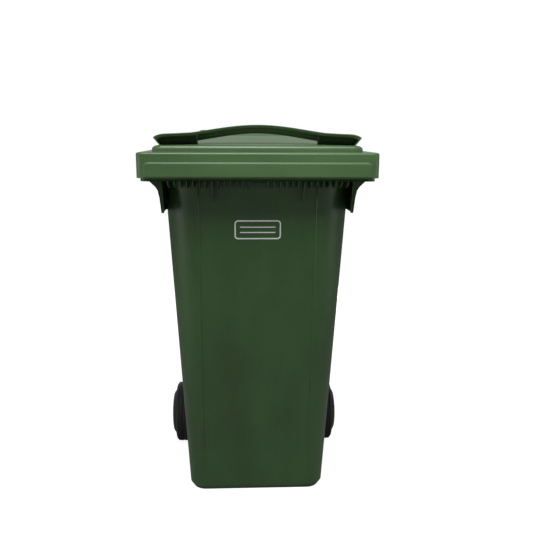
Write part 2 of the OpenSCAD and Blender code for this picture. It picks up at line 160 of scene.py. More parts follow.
def push_out(bm, faces, vec):
    """Extrudes faces as one region and moves the new side by a vector."""
    made = bmesh.ops.extrude_face_region(bm, geom=faces)["geom"]
    verts = [item for item in made if isinstance(item, bmesh.types.BMVert)]
    bmesh.ops.translate(bm, verts=verts, vec=vec)


def add_part(bm, part):
    """Moves a finished small bmesh into a bigger one."""
    face_outwards(part)
    mesh = bpy.data.meshes.new("part")
    part.to_mesh(mesh)
    part.free()
    bm.from_mesh(mesh)
    bpy.data.meshes.remove(mesh)


def plate(bm, outline, thickness, soft=0.5 * mm, segments=2):
    """A flat outline, given as points in order, extruded by a vector."""
    part = bmesh.new()
    face = part.faces.new([part.verts.new(point) for point in outline])
    push_out(part, [face], thickness)
    face_outwards(part)
    soften(part, soft, segments)
    add_part(bm, part)


def side_plate(bm, x, thickness, outline, **edges):
    """A plate in the YZ plane, centred on x."""
    points = [(x - thickness / 2, y, z) for y, z in outline]
    plate(bm, points, (thickness, 0, 0), **edges)


def turned(bm, profile, centre, steps=64, soft=0.8 * mm, segments=3, sign=1):
    """Spins an outline, given as (place along X, radius), round the X axis through centre.

    An outline that doesn't start on the axis is closed into a ring. A sign of -1 mirrors it in X.
    """
    part = bmesh.new()
    verts = [part.verts.new((sign * x, centre.y, centre.z + r)) for x, r in profile]
    pairs = list(zip(verts, verts[1:]))
    if profile[0][1]:
        pairs.append((verts[-1], verts[0]))
    edges = [part.edges.new(pair) for pair in pairs]
    bmesh.ops.spin(part, geom=verts + edges, cent=(0, centre.y, centre.z), axis=(1, 0, 0),
                   angle=math.tau, steps=steps, use_merge=True)
    bmesh.ops.remove_doubles(part, verts=part.verts, dist=1e-6)
    face_outwards(part)
    if soft:
        soften(part, soft, segments)
    add_part(bm, part)


def add_features(bm, *makes):
    for make in makes:
        make(bm)
        print(make.__name__, len(bm.faces), "faces so far")


def new_object(bm, name, material):
    """Turns a bmesh into an object with a material."""
    mesh = bpy.data.meshes.new(name)
    bm.to_mesh(mesh)
    bm.free()
    mesh.materials.append(material)
    made = bpy.data.objects.new(name, mesh)
    bpy.context.scene.collection.objects.link(made)
    return made


def make_piece(bm, name, body, material, replaced):
    """Turns a bmesh into a finished piece that rides on a body and stands for a CAD node."""
    sharp_angle = math.radians(40)
    piece = new_object(bm, name, material)
    piece.data.shade_smooth()
    piece.data.set_sharp_from_angle(angle=sharp_angle)
    weighted = piece.modifiers.new("flat faces stay flat", "WEIGHTED_NORMAL")
    weighted.keep_sharp = True
    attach(piece, body)
    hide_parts(replaced)
    print(name, len(piece.data.polygons), "faces")


# %% [markdown]
# ## Node helper
# One function adds a node, sets it and links it, so that each material below reads as a list. It
# returns the node's outputs, because those are what the next node needs.

# %% Node and colour helpers
def linear(hex_colour):
    """An sRGB hex colour as the linear RGBA that the shader wants."""
    channels = [int(hex_colour[i:i + 2], 16) / 255 for i in (1, 3, 5)]
    return (*[c / 12.92 if c <= 0.04045 else ((c + 0.055) / 1.055) ** 2.4 for c in channels], 1)


def add_node(tree, kind, settings=None, links=None, values=None, stops=()):
    """Adds a shader node of a kind and returns its outputs.

    settings are its properties, values its sockets, links the sources of its sockets, and stops the
    (position, colour) pairs of a colour ramp.
    """
    node = tree.nodes.new("ShaderNode" + kind)
    for name, value in (settings or {}).items():
        setattr(node, name, value)
    for name, value in (values or {}).items():
        node.inputs[name].default_value = value
    for name, source in (links or {}).items():
        tree.links.new(source, node.inputs[name])
    if stops:
        elements = node.color_ramp.elements
        for element, (position, colour) in zip((elements[0], elements[1]), (stops[0], stops[-1])):
            element.position, element.color = position, linear(colour)
        for position, colour in stops[1:-1]:
            elements.new(position).color = linear(colour)
    return node.outputs


def new_material(name):
    """An empty node material, with its tree and its object coordinates."""
    material = bpy.data.materials.new(name)
    material.use_nodes = True
    tree = material.node_tree
    tree.nodes.clear()
    return material, tree, add_node(tree, "TexCoord")["Object"]


def close_material(tree, values, links):
    """Adds the shader, with its constants and links, and the output."""
    shader = add_node(tree, "BsdfPrincipled", values=values, links=links)
    add_node(tree, "OutputMaterial", links={"Surface": shader["BSDF"]})


# %% [markdown]
# ## Injection moulded HDPE
# High density polyethylene, dyed green in the mass and moulded against a finely eroded tool. The eye
# sees a satin skin: a soft reflection, a faint grain about a millimetre across, and long flow marks
# where the melt ran. The flow marks are noise 110 mm wide, stretched along the way the melt went, over
# clouds 300 mm wide. The same clouds make the slow ripple that a big flat wall has.

# %% HDPE
def moulded_hdpe(name, deep, middle, pale, flow):
    roughness, grain_size = 0.42, 1.4 * mm
    material, tree, place = new_material(name)
    along = add_node(tree, "Mapping", links={"Vector": place}, values={"Scale": flow})
    streaks = add_node(tree, "TexNoise", links={"Vector": along["Vector"]},
                       values={"Scale": 9.0, "Detail": 5.0, "Roughness": 0.62})
    clouds = add_node(tree, "TexNoise", links={"Vector": place},
                      values={"Scale": 3.2, "Detail": 2.0})
    tone = add_node(tree, "Mix", {"data_type": "FLOAT"}, values={"Factor": 0.45},
                    links={"A": streaks["Fac"], "B": clouds["Fac"]})
    colour = add_node(tree, "ValToRGB", links={"Fac": tone["Result"]},
                      stops=[(0.36, deep), (0.5, middle), (0.66, pale)])
    gloss = add_node(tree, "MapRange", links={"Value": streaks["Fac"]},
                     values={"From Min": 0.3, "From Max": 0.7, "To Min": roughness - 0.05,
                             "To Max": roughness + 0.07})
    grain = add_node(tree, "TexNoise", links={"Vector": place},
                     values={"Scale": 1 / grain_size, "Detail": 3.0})
    ripple = add_node(tree, "Bump", links={"Height": clouds["Fac"]},
                      values={"Strength": 0.25, "Distance": 0.8 * mm})
    bump = add_node(tree, "Bump", values={"Strength": 0.22, "Distance": 0.12 * mm},
                    links={"Height": grain["Fac"], "Normal": ripple["Normal"]})
    close_material(tree, {"IOR": 1.54}, {"Base Color": colour["Color"], "Roughness": gloss["Result"],
                                         "Normal": bump["Normal"]})
    return material


# The lid's green is lighter than the body's. That difference is painted light: it stands in for the
# stronger light on the lid's upright skirt than on the raked body under the rim.
body_hdpe = moulded_hdpe("moulded green HDPE, body", "#2C4922", "#325329", "#3A5C2F", (1, 1, 0.1))
lid_hdpe_painted_lighter = moulded_hdpe("moulded green HDPE, lid", "#3D5833", "#45633A", "#4F6D43", (0.15, 1, 1))

# %% [markdown]
# ## Speckled skins
# The plastic fittings, the rubber and the zinc look alike in build: broad spots vary the colour and the
# gloss together, and a fine grain stands in relief. One function takes the spots and the grain.

# %% Speckled skin
def speckled_skin(name, spots, stops, gloss, grain, bump, shader, stretch=None):
    """gloss is the least and most roughness; stretch draws the grain out along an axis."""
    material, tree, place = new_material(name)
    speckle = add_node(tree, "TexNoise", links={"Vector": place}, values=spots)
    colour = add_node(tree, "ValToRGB", links={"Fac": speckle["Fac"]}, stops=stops)
    rough = add_node(tree, "MapRange", links={"Value": speckle["Fac"]},
                     values={"To Min": gloss[0], "To Max": gloss[1]})
    if stretch:
        place = add_node(tree, "Mapping", links={"Vector": place},
                         values={"Scale": stretch})["Vector"]
    fine = add_node(tree, "TexNoise", links={"Vector": place}, values=grain)
    relief = add_node(tree, "Bump", links={"Height": fine["Fac"]}, values=bump)
    close_material(tree, shader, {"Base Color": colour["Color"], "Roughness": rough["Result"],
                                  "Normal": relief["Normal"]})
    return material


# %% [markdown]
# ## Black fittings
# The wheel centres and caps are carbon-filled polypropylene, a little shinier than the body. The small
# pins and bushes are the same. Its colour hardly varies, in spots of 17 mm, so most of the look is its
# soft gloss over a grain of 0.9 mm. The latches are acetal, moulded in the same way and dyed amber.

# %% Black polypropylene and acetal
def moulded_fitting(name, dark, pale, roughness=0.34):
    return speckled_skin(name, {"Scale": 60.0, "Detail": 4.0}, [(0.35, dark), (0.7, pale)],
                         (roughness - 0.06, roughness + 0.12), {"Scale": 1 / (0.9 * mm), "Detail": 2.0},
                         {"Strength": 0.25, "Distance": 0.08 * mm}, {"IOR": 1.49})


wheel_pp = moulded_fitting("moulded black polypropylene", "#0C0D0D", "#151716")
fitting_pp = moulded_fitting("moulded black polypropylene, fittings", "#0F1010", "#1A1B1B", 0.4)
latch_acetal = moulded_fitting("moulded amber acetal", "#B5651D", "#C87A2C", 0.3)

# %% [markdown]
# ## Tyre rubber
# The tyre is solid, carbon-black rubber pressed in a hot mould. It scatters light broadly, and dust
# settles in it as grey. The dust is a noise 22 mm wide that only whitens the colour and roughens it a
# little. The grit in the relief is 1.1 mm, drawn coarser than it is so that it shows.

# %% Rubber
tyre_rubber = speckled_skin("pressed black rubber", {"Scale": 45.0, "Detail": 6.0, "Roughness": 0.65},
                            [(0.4, "#111111"), (0.6, "#1B1B1A"), (0.8, "#2E2D2A")], (0.52, 0.78),
                            {"Scale": 1 / (1.1 * mm), "Detail": 3.0},
                            {"Strength": 0.6, "Distance": 0.3 * mm}, {"IOR": 1.52})

# %% [markdown]
# ## Zinc plated steel
# The axle is drawn bar, cut and grooved, then zinc plated. Plating leaves a bright grey metal with a
# slightly cloudy bloom, 30 mm wide, and the drawing marks, 0.6 mm apart, run along the bar.

# %% Zinc plate
zinc_steel = speckled_skin("zinc plated drawn steel", {"Scale": 35.0, "Detail": 5.0},
                           [(0.35, "#A9ABAC"), (0.7, "#C9CACA")], (0.28, 0.5),
                           {"Scale": 1 / (0.6 * mm), "Detail": 2.0},
                           {"Strength": 0.3, "Distance": 0.03 * mm}, {"Metallic": 1.0}, (0.02, 1, 1))

# %% [markdown]
# ## Hot foil
# The mark on the front is white foil pressed into the plastic with a hot die. It is thin and a little
# uneven, so some of the green shows through as a faint mottle.

# %% White foil
def hot_foil(name):
    press_size = 2.5 * mm
    material, tree, place = new_material(name)
    press = add_node(tree, "TexNoise", links={"Vector": place},
                     values={"Scale": 1 / press_size, "Detail": 4.0})
    colour = add_node(tree, "ValToRGB", links={"Fac": press["Fac"]},
                      stops=[(0.3, "#D8DDD5"), (0.5, "#F0F2EE"), (0.7, "#F8F9F6")])
    bump = add_node(tree, "Bump", links={"Height": press["Fac"]},
                    values={"Strength": 0.2, "Distance": 0.05 * mm})
    close_material(tree, {"Roughness": 0.36, "IOR": 1.5},
                   {"Base Color": colour["Color"], "Normal": bump["Normal"]})
    return material


white_foil = hot_foil("hot pressed white foil")

# %% [markdown]
# ## The body
# The body is one moulding. Its tub tapers to the ground so that bins stack and the moulding slides off
# its core; the front corners are wide curves above and tight below. Round the top it turns out and
# down into the rim that a lift's comb hooks under. The chain of rings starts on the inner floor, climbs
# the inside, goes over the rim and back down the outside to the base, so the wall is a true wall.

# %% Body outline
base_half, side_flare = 196 * mm, 45 * mm
base_front, top_front = front + 220 * mm, front + 56 * mm
base_rear, top_rear = base_front + 372 * mm, rim_rear - 28 * mm
corner_base, corner_top, corner_rear = 42 * mm, 92 * mm, 40 * mm
recess_front, recess_slope = axle_axis.y - 32 * mm, 24 * mm
recess_low, recess_top = axle_axis.z + 24 * mm, axle_axis.z + 46 * mm
recess_corner = 14 * mm
panel_depth, groove_depth = 1.6 * mm, 2.4 * mm


def between(low, high, z):
    return low + (high - low) * z / rim_top


def half_at(z):
    return between(base_half, base_half + side_flare, z)


def front_at(z):
    return between(base_front, top_front, z)


def tub_plan(z, inset=0.0, rear=None):
    """The tub's outline at a height, drawn in by inset; rear is given where the axle recess is."""
    y_rear = between(base_rear, top_rear, z) if rear is None else rear
    r_rear = corner_rear if rear is None else recess_corner
    return (half_at(z) - inset, front_at(z) + inset, y_rear - inset,
            between(corner_base, corner_top, z) - inset / 2, r_rear - inset / 2, z)


def rim_plan(z, inset=0.0):
    return (rim_half - inset, rim_front + inset, rim_rear - inset,
            rim_corner - inset, rim_corner - inset, z)


# %% Tub and rim
def make_tub(bm):
    floor, bevel_high, bevel_in = 9 * mm, 18 * mm, 9 * mm
    flange, ledge = rim_top - rim_thick, 0.3 * mm
    heights = [300 * mm, 500 * mm, 700 * mm, 880 * mm]
    inside = [tub_plan(floor, wall + bevel_in, recess_front),
              tub_plan(floor + bevel_high, wall, recess_front),
              tub_plan(recess_low + wall, wall, recess_front),
              tub_plan(recess_top + wall, wall, recess_front + recess_slope),
              tub_plan(recess_top + wall + ledge, wall)]
    inside += [tub_plan(z, wall) for z in heights + [rim_top]]
    over_rim = [rim_plan(rim_top), rim_plan(rim_bottom), rim_plan(rim_bottom, rim_thick),
                rim_plan(flange, rim_thick), tub_plan(flange)]
    outside = [tub_plan(z) for z in heights[::-1] + [recess_top + ledge]]
    outside += [tub_plan(recess_top, 0, recess_front + recess_slope),
                tub_plan(recess_low, 0, recess_front),
                tub_plan(bevel_high, 0, recess_front), tub_plan(0, bevel_in, recess_front)]
    chain_rings(bm, inside + over_rim + outside)
    face_outwards(bm)
    soften(bm, 1.8 * mm, 3, 15)


# %% [markdown]
# Light breaks along a faint line down each side of the front: the flat panel between the corner curves
# is set back by 1.6 mm, with a shallow groove round it. Insetting the front faces as one region makes
# the groove, and a second inset brings the panel forward again. Near the ground the points are moved
# back to the wall, so that the step fades out above the bevel of the base.

# %% Front panel
def is_panel(face, sign, low):
    """Whether a face is in the flat front (sign -1) or back (sign 1) of the tub, above a height."""
    middle = face.calc_center_median()
    width = max(edge.calc_length() for edge in face.edges)
    on_front = middle.y - front_at(middle.z) < 3 * mm
    return (face.normal.y * sign > 0.9 and low < middle.z < rim_top and abs(middle.x) < 1 * mm
            and width > 150 * mm and on_front == (sign < 0))


def set_back_panels(bm):
    """Insets the flat front and back of the tub a little."""
    groove_width, slope_width = 2.5 * mm, 3.5 * mm
    for sign, low in ((-1, 30 * mm), (1, recess_top + 20 * mm)):
        panel = [face for face in bm.faces if is_panel(face, sign, low)]
        bmesh.ops.inset_region(bm, faces=panel, thickness=groove_width, depth=-groove_depth,
                               use_even_offset=True)
        bmesh.ops.inset_region(bm, faces=panel, thickness=slope_width,
                               depth=groove_depth - panel_depth, use_even_offset=True)
    fade_start, fade_end = 19 * mm, 40 * mm
    for vert in bm.verts:
        behind = vert.co.y - front_at(vert.co.z)
        if fade_start < vert.co.z < fade_end and 0 < behind < groove_depth + 0.5 * mm:
            vert.co.y -= behind


# %% [markdown]
# Under the front rim a row of thin fins ties the rim to the wall. They stop a comb's teeth from bending
# it. Two fins are long, and near each corner a hollow gusset stands under the side rim, open below.

# %% Comb fins and gussets
fin_thick = 2.4 * mm


def make_fins(bm):
    pitch, drop, long_drop, long_fin = 15 * mm, 20 * mm, 55 * mm, 7
    count = int((half_at(rim_bottom) - 18 * mm) / pitch - 0.5)
    for k in range(1, count + 1):
        depth = long_drop if k == long_fin else drop
        foot = rim_bottom - depth
        outline = [(rim_front + 2 * mm, rim_top - 2 * mm), (rim_front + 2 * mm, rim_bottom + 2 * mm),
                   (rim_front + 16 * mm, rim_bottom - drop * 0.6), (front_at(foot) - 6 * mm, foot),
                   (front_at(foot) + 2 * mm, foot), (front_at(rim_top) + 2 * mm, rim_top - 2 * mm)]
        for sign in (-1, 1):
            side_plate(bm, sign * (k + 0.5) * pitch, fin_thick, outline, segments=1)


def make_side_fins(bm):
    count = 6
    first, last = rim_front + 170 * mm, rim_rear - 60 * mm
    outer, inner = rim_half - 2 * mm, half_at(rim_bottom) - 2 * mm
    high, drop = rim_top - 2 * mm, 10 * mm
    outline = [(outer, high), (outer, rim_bottom + 2 * mm), (inner, rim_bottom - drop), (inner, high)]
    for k in range(count):
        y = first + (last - first) * k / (count - 1) - fin_thick / 2
        for sign in (-1, 1):
            plate(bm, [(sign * x, y, z) for x, z in outline], (0, fin_thick, 0), segments=1)


def make_gussets(bm):
    length, thick, soft = 90 * mm, 3.5 * mm, 0.9 * mm
    first = rim_front + 56 * mm
    foot = rim_bottom - 82 * mm
    near = half_at(foot)
    skin = [(rim_half - 5 * mm, rim_bottom + 6 * mm), (rim_half - 15 * mm, rim_bottom - 4 * mm),
            (near + 19 * mm, rim_bottom - 17 * mm), (near + 13 * mm, rim_bottom - 26 * mm),
            (near + 9 * mm, rim_bottom - 45 * mm), (near + 5 * mm, foot)]
    back = [(near - 2 * mm, foot), (near + 2 * mm, rim_bottom + 6 * mm)]
    inner = [(x - thick, z) for x, z in reversed(skin)]
    for sign in (-1, 1):
        for outline, y, depth in ((skin + inner, first, length), (skin + back, first, thick),
                                  (skin + back, first + length - thick, thick)):
            plate(bm, [(sign * x, y, z) for x, z in outline], (0, depth, 0), soft=soft)


# %% [markdown]
# At the back the rim carries four arms and a round bar. The bar is the handle, and the lid hinges on
# pins in its ends. Low down, bosses in a recess hold the axle, tied to the wall by webs.

# %% Handle and axle carriers
bar_radius, bar_half, arm_thick, arm_middle = 16 * mm, 186 * mm, 9 * mm, 62 * mm


def make_handle(bm):
    y, z = hinge_axis.y, hinge_axis.z
    root, eye = rim_rear - rim_thick / 2, bar_radius + 1 * mm
    outline = [(root, rim_bottom + 4 * mm), (rim_rear + 8 * mm, rim_bottom + 4 * mm),
               (y + 6 * mm, z - bar_radius + 3 * mm), (y, z), (y - 8 * mm, z + bar_radius - 3 * mm),
               (root, rim_top - 2 * mm)]
    for x in (-bar_half - arm_thick / 2, -arm_middle, arm_middle, bar_half + arm_thick / 2):
        side_plate(bm, x, arm_thick, outline, soft=2 * mm, segments=3)
        x0, x1 = x - arm_thick / 2, x + arm_thick / 2
        turned(bm, [(x0, 0), (x0, eye), (x1, eye), (x1, 0)], hinge_axis, 48, 1.5 * mm)
    turned(bm, grip_profile(), hinge_axis, 48, 0)


def grip_profile():
    """The bar's outline: smooth near the arms, with shallow rounded rings where the hands hold it."""
    points = [(-bar_half, 0)]
    steps = 248
    low, high = arm_middle + arm_thick, bar_half - 8 * mm
    ring_pitch, ring_depth = 6 * mm, 0.5 * mm
    for k in range(steps + 1):
        x = -bar_half + 2 * bar_half * k / steps
        held = low < abs(x) < high
        dip = ring_depth * (1 - math.cos(math.tau * (abs(x) - low) / ring_pitch)) if held else 0
        points.append((x, bar_radius - dip))
    return points + [(bar_half, 0)]


def make_axle_carriers(bm):
    boss_end, boss_length = half_at(axle_axis.z) + 1 * mm, 30 * mm
    boss_radius, hole = 19 * mm, 12.6 * mm
    web_thick, web_top = 7 * mm, recess_top + 3 * mm
    y, z = axle_axis.y, axle_axis.z
    root, tip = recess_front - 3 * mm, y + boss_radius - 2 * mm
    web = [(root, z - 24 * mm), (y - 4 * mm, z - boss_radius + 2 * mm), (y - 4 * mm, z - hole),
           (y - hole, z), (y - 4 * mm, z + hole), (y + 4 * mm, z + hole + 3 * mm),
           (tip, z + 6 * mm), (tip, web_top), (root, web_top)]
    for sign in (-1, 1):
        for x in (boss_end - boss_length + 3.5 * mm, boss_end - 8 * mm, 70 * mm):
            side_plate(bm, sign * x, web_thick, web, soft=1 * mm)
        for low, high in ((boss_end - boss_length, boss_end), (64 * mm, 76 * mm)):
            boss = [(low, hole), (low, boss_radius), (high, boss_radius), (high, hole)]
            turned(bm, boss, axle_axis, 40, 1 * mm, sign=sign)


# %% [markdown]
# A round nest under the middle of the rim holds the identification chip, and two tiny pips low on the
# front are the marks that the mould's gates leave.

# %% Nest and gate marks
def make_nest(bm):
    low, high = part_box("chip_plug")
    y = (low.y + high.y) / 2
    foot, nest_top, radius = low.z + 2 * mm, rim_top - 2 * mm, 14 * mm
    part = bmesh.new()
    bmesh.ops.create_cone(part, cap_ends=True, segments=32, radius1=radius, radius2=radius,
                          depth=nest_top - foot)
    bmesh.ops.translate(part, verts=part.verts, vec=(0, y, (nest_top + foot) / 2))
    soften(part, 0.8 * mm)
    add_part(bm, part)
    y_near, web_foot = y + 12 * mm, low.z + 6 * mm
    web = [(y_near, nest_top), (y_near, web_foot), (front_at(low.z) + 2 * mm, web_foot),
           (front_at(rim_top) + 2 * mm, nest_top)]
    side_plate(bm, 0, fin_thick, web)


def make_gate_marks(bm):
    flatness, sunk = 0.35, 1.6 * mm
    for x, z, radius in ((-70 * mm, 92 * mm, 4 * mm), (-66 * mm, 34 * mm, 2.5 * mm)):
        part = bmesh.new()
        bmesh.ops.create_uvsphere(part, u_segments=20, v_segments=10, radius=radius)
        bmesh.ops.scale(part, verts=part.verts, vec=(1, flatness, 1))
        bmesh.ops.translate(part, verts=part.verts, vec=(x, front_at(z) + sunk, z))
        add_part(bm, part)


bm = bmesh.new()
make_tub(bm)
set_back_panels(bm)
add_features(bm, make_fins, make_side_fins, make_gussets, make_handle, make_axle_carriers,
             make_nest, make_gate_marks)
make_piece(bm, "body_moulding", "bin", body_hdpe, "body_shell")

# %% [markdown]
# ## The lid
# The lid is a shallow pan turned over: a deep skirt, a narrow ledge, then a deck that stands up inside
# it and swells towards the back so that rain runs off. It is the same kind of ring chain, with one
# more step. The long sides are cut into short lengths, and a height function lifts the deck's middle.

# %% Lid shell
lid_wall = 3.5 * mm
skirt_front = front + 4 * mm
deck_half = lid_half - 31.5 * mm
deck_front, deck_rear = front + 46 * mm, lid_rear - 16 * mm
deck_z = lid_top + 16 * mm
deck_rise = 22 * mm
long_edge, edge_cuts = 60 * mm, 15


def skirt_plan(z, inset=0.0):
    r_front, r_rear = 15 * mm, 12 * mm
    return (lid_half - inset, skirt_front + inset, lid_rear - inset, r_front - inset, r_rear - inset, z)


def deck_plan(z, side, end):
    """The deck's outline, drawn in by one amount at the sides and another at the ends."""
    radius = max(22 * mm - end / 2, 6 * mm)
    return (deck_half - side, deck_front + end, deck_rear - end, radius, radius, z)


def ease(t):
    t = min(max(t, 0), 1)
    return t * t * (3 - 2 * t)


def swell(x, y):
    """How far the deck rises at a place."""
    run = 220 * mm
    along = 0.5 * ease((y - deck_front - 10 * mm) / run) + 0.5 * min((y - deck_front) / run, 1)
    across = ease((deck_half - 18 * mm - abs(x)) / (110 * mm))
    back = ease((deck_rear - 12 * mm - y) / (60 * mm))
    return deck_rise * max(along, 0) * across * back


# %% Build the lid shell
def make_lid_shell(bm):
    shoulder = [(0, 0, lid_top), (0.5, 0.4, lid_top + 6 * mm), (1.2, 0.9, lid_top + 9.5 * mm),
                (3.5, 2.1, lid_top + 12.4 * mm), (7.5, 4.4, lid_top + 14.6 * mm),
                (12.5, 7.6, lid_top + 15.7 * mm), (18, 12, deck_z)]
    level = [(side, side - 12, deck_z) for side in (26, 40, 60, 84, 110, 138, 168, 200, 226)]
    rings = [(side * mm, end * mm, z) for side, end, z in shoulder + level]
    edge = 5 * mm
    turns = [math.radians(18 * k) for k in range(6)]
    outside = [skirt_plan(skirt_bottom)]
    outside += [skirt_plan(lid_top - edge * (1 - math.sin(a)), edge * (1 - math.cos(a))) for a in turns]
    outside += [deck_plan(z, side, end) for side, end, z in rings]
    inside = [skirt_plan(skirt_bottom, lid_wall), skirt_plan(lid_top - lid_wall, lid_wall)]
    inside += [deck_plan(z - lid_wall, side + lid_wall, end + lid_wall) for side, end, z in rings]
    chain_rings(bm, outside[::-1] + inside)
    face_outwards(bm)


def lift_deck(bm):
    """Cuts the long edges short, then raises the deck by its swell."""
    level = 1 * mm
    long_edges = [edge for edge in bm.edges if edge.calc_length() > long_edge
                  and abs(edge.verts[0].co.z - edge.verts[1].co.z) < level
                  and edge.verts[0].co.z > lid_top - 5 * mm]
    along_x = [edge for edge in long_edges if abs(edge.verts[0].co.y - edge.verts[1].co.y) < 1e-5]
    along_y = [edge for edge in long_edges if abs(edge.verts[0].co.x - edge.verts[1].co.x) < 1e-5]
    for edges in (along_x, along_y):
        bmesh.ops.subdivide_edges(bm, edges=edges, cuts=edge_cuts, use_grid_fill=True)
    for vert in bm.verts:
        if vert.co.z > deck_z - lid_wall - level:
            vert.co.z += swell(vert.co.x, vert.co.y)


def cut_back_skirt(bm):
    """Ends the skirt before the hinge, so that the lid can swing over the rim."""
    start, end, high = 232 * mm, 252 * mm, rim_top + 1.5 * mm
    for y in (start, end):
        bmesh.ops.bisect_plane(bm, geom=bm.verts[:] + bm.edges[:] + bm.faces[:], plane_co=(0, y, 0),
                               plane_no=(0, 1, 0), dist=1e-6)
    for vert in bm.verts:
        if vert.co.y > end - 0.1 * mm and vert.co.z < high:
            vert.co.z = high
    bmesh.ops.remove_doubles(bm, verts=bm.verts, dist=1e-5)


# %% [markdown]
# The lower half of the front skirt stands proud as one long panel with rounded upper corners. Its top
# edge is the bright line across the front, a chamfer. Only the front edges get it, because the panel
# is thin. The rear plateau is a hollow cap with sloping sides. Its foot lies within the thickness of
# the deck, all the way round, so nothing of it hangs below the lid.

# %% Front panel and plateau of the lid
def make_lid_panel(bm):
    half, top, corner = lid_half - 17 * mm, skirt_bottom + 37.5 * mm, 12 * mm
    depth, chamfer = 6 * mm, 3.9 * mm
    part = bmesh.new()
    corners = [part.verts.new((x, front, z)) for x, z in
               ((-half, skirt_bottom), (half, skirt_bottom), (half, top), (-half, top))]
    part.faces.new(corners)
    bevel(part, corners[2:], corner, 6, "VERTICES", clamp=False)
    push_out(part, part.faces[:], (0, depth, 0))
    face_outwards(part)
    front_edges = [edge for edge in part.edges
                   if max(vert.co.y for vert in edge.verts) < front + 0.1 * mm]
    bevel(part, front_edges, chamfer, 1, clamp=False)
    add_part(bm, part)


def make_plateau(bm):
    """A hollow cap over the deck, whose foot follows the deck's swell."""
    half, length, high = 176 * mm, 230 * mm, lid_top + 54.5 * mm
    y_rear = deck_rear - 30 * mm
    y_front = y_rear - length
    foot = deck_z - 4 * mm
    outside = [(half - 60 * mm, y_front + 110 * mm, y_rear - 60 * mm, 20 * mm, 16 * mm, high + 1 * mm),
               (half - 14 * mm, y_front + 52 * mm, y_rear - 12 * mm, 22 * mm, 16 * mm, high),
               (half - 2 * mm, y_front + 6 * mm, y_rear - 1 * mm, 26 * mm, 20 * mm, deck_z + 17 * mm),
               (half, y_front, y_rear, 26 * mm, 20 * mm, foot)]
    inside = [(x - lid_wall, y0 + lid_wall, y1 - lid_wall, r0, r1, max(z - lid_wall, foot))
              for x, y0, y1, r0, r1, z in reversed(outside)]
    part = bmesh.new()
    chain_rings(part, outside + inside)
    face_outwards(part)
    upper = [edge for edge in part.edges if edge.calc_face_angle(0) > math.radians(12)
             and min(vert.co.z for vert in edge.verts) > deck_z + 5 * mm]
    bevel(part, upper, 5 * mm, 4)
    foot_line = foot + 0.1 * mm
    long_edges = [edge for edge in part.edges if edge.calc_length() > long_edge
                  and max(vert.co.z for vert in edge.verts) < foot_line]
    bmesh.ops.subdivide_edges(part, edges=long_edges, cuts=edge_cuts)
    for vert in part.verts:
        if vert.co.z < foot_line:
            vert.co.z = deck_z - lid_wall / 2 + swell(vert.co.x, vert.co.y)
    add_part(bm, part)


# %% [markdown]
# ## The lid's grip
# The grip is a long visor across the front of the deck: a thin roof with a short lip that hangs at its
# front and a wall that hangs at its back. Its top line is level at the ends and arches in the middle.
# In the middle it bridges a finger opening, and on both sides a wall closes it down to the deck, which
# leaves a dark pocket. One cross-section is extruded along X, cut into short lengths and then lifted by
# the arch, so that the curve runs through every edge alike.

# %% Grip
grip_y0 = deck_front + 12 * mm
grip_depth = 40 * mm
grip_end, grip_middle = deck_z + 31 * mm, deck_z + 49 * mm
finger_half = 148 * mm
tip_half = lid_half - 36 * mm
tip_lean = 0.8


def arch(x):
    """The grip's top line above its ends: a long soft hump, and a small droop at the tips."""
    reach = 164 * mm
    hump = math.cos(math.pi / 2 * min(abs(x) / reach, 1)) ** 1.25 * (grip_middle - grip_end)
    droop = 3 * mm * ease((abs(x) - 140 * mm) / (80 * mm))
    tip = 9 * mm * max(0, (abs(x) - 170 * mm) / (tip_half - 170 * mm)) ** 7
    return hump - droop - tip


def make_visor(bm):
    """The roof, front lip and back wall as one section, in millimetres from the top line's front."""
    section = [(4.6, -7.4), (3.6, -6.8), (0.6, -2.2), (0.4, -1.2), (1.4, -0.3), (3, 0), (8, -0.2),
               (20, -1.2), (30, -3), (36, -6), (39, -10.5), (40, -16), (40, -19.8), (39.2, -20.6),
               (37.4, -20.6), (36.6, -19.8), (36.4, -16), (35.4, -12), (32.6, -8.6), (28, -6.2),
               (20, -4.6), (10, -3.8), (7.6, -4), (6.6, -5), (6, -6.8)]
    part = bmesh.new()
    verts = [part.verts.new((-tip_half, grip_y0 + y * mm, grip_end + z * mm)) for y, z in section]
    push_out(part, [part.faces.new(verts)], (2 * tip_half, 0, 0))
    lengths = [edge for edge in part.edges if edge.calc_length() > tip_half]
    bmesh.ops.subdivide_edges(part, edges=lengths, cuts=71, use_grid_fill=True)
    for vert in part.verts:
        depth = grip_end - vert.co.z
        vert.co.z += arch(vert.co.x)
        vert.co.x *= 1 - tip_lean * depth / tip_half
    add_part(bm, part)


